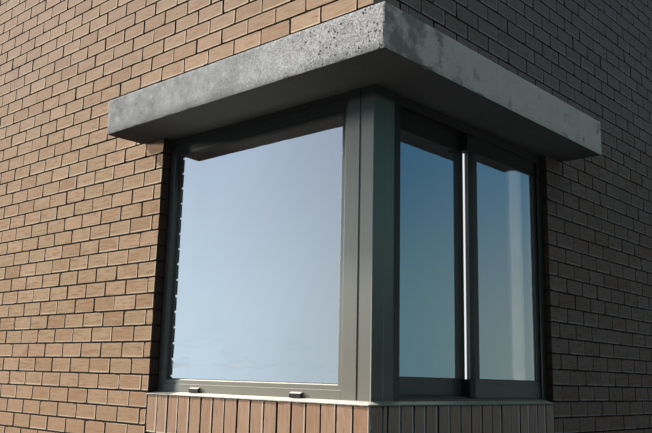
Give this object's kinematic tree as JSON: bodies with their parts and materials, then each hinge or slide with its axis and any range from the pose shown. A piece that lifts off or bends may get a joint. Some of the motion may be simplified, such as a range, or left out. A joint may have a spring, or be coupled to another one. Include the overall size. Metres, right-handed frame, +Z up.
{
  "type": "corner window",
  "caption": "Brick wall corner with an aluminium corner window, fixed pane on one face and sliding sashes on the other, under a concrete hood.",
  "frame": {"origin": "outer corner of the brickwork at ground level", "axes": "+Z up; the left wall runs along -X and faces -Y; the right wall runs along +Y and faces +X"},
  "size_m": [3.969, 3.69, 4.6278],
  "materials": {
    "brick": "wire-cut facing brick, buff to tan, raked dark joints",
    "sill_brick": "wire-cut facing brick, warmer, upright",
    "plaster": "painted plaster on blockwork",
    "concrete": "pitted weathered cast concrete",
    "mortar": "trowelled mortar",
    "window_board": "painted board",
    "frame": "anodised, satin, grey bronze",
    "bright_trim": "mill finish",
    "pane": "lightly tinted float glass",
    "sealant": "matt",
    "dark_plastic": "matt moulded"
  },
  "bodies": {
    "root": {"brick_base_left": "brick", "brick_base_right": "brick", "brick_pier_left": "brick", "brick_pier_right": "brick", "brick_head_left": "brick", "brick_head_right": "brick", "soldier_sill_left": "sill_brick", "soldier_sill_right": "sill_brick", "inner_base_left": "plaster", "inner_base_right": "plaster", "inner_pier_left": "plaster", "inner_pier_right": "plaster", "inner_head_left": "plaster", "inner_head_right": "plaster", "concrete_hood": "concrete", "sill_mortar_left": "mortar", "sill_mortar_right": "mortar", "window_board_left": "window_board", "window_board_right": "window_board", "corner_post": "frame", "post_cover_left": "frame", "post_cover_right": "frame", "perimeter_sealant": "sealant", "fixed_frame_jambs": "frame", "fixed_frame_rails": "frame", "frame_head_closer": "frame", "fixed_glazing_bead": "frame", "fixed_glazing_stop": "frame", "fixed_glass": "pane", "drain_covers": "dark_plastic", "slider_jambs": "frame", "slider_sill_track": "frame", "slider_head_track": "frame", "outer_sash_rails": "frame", "outer_sash_stiles": "frame", "outer_sash_glass": "pane", "inner_sash_rails": "frame", "inner_sash_stiles": "frame", "inner_sash_glass": "pane", "sash_interlock": "bright_trim", "draught_blocks": "dark_plastic"}
  },
  "joints": []
}
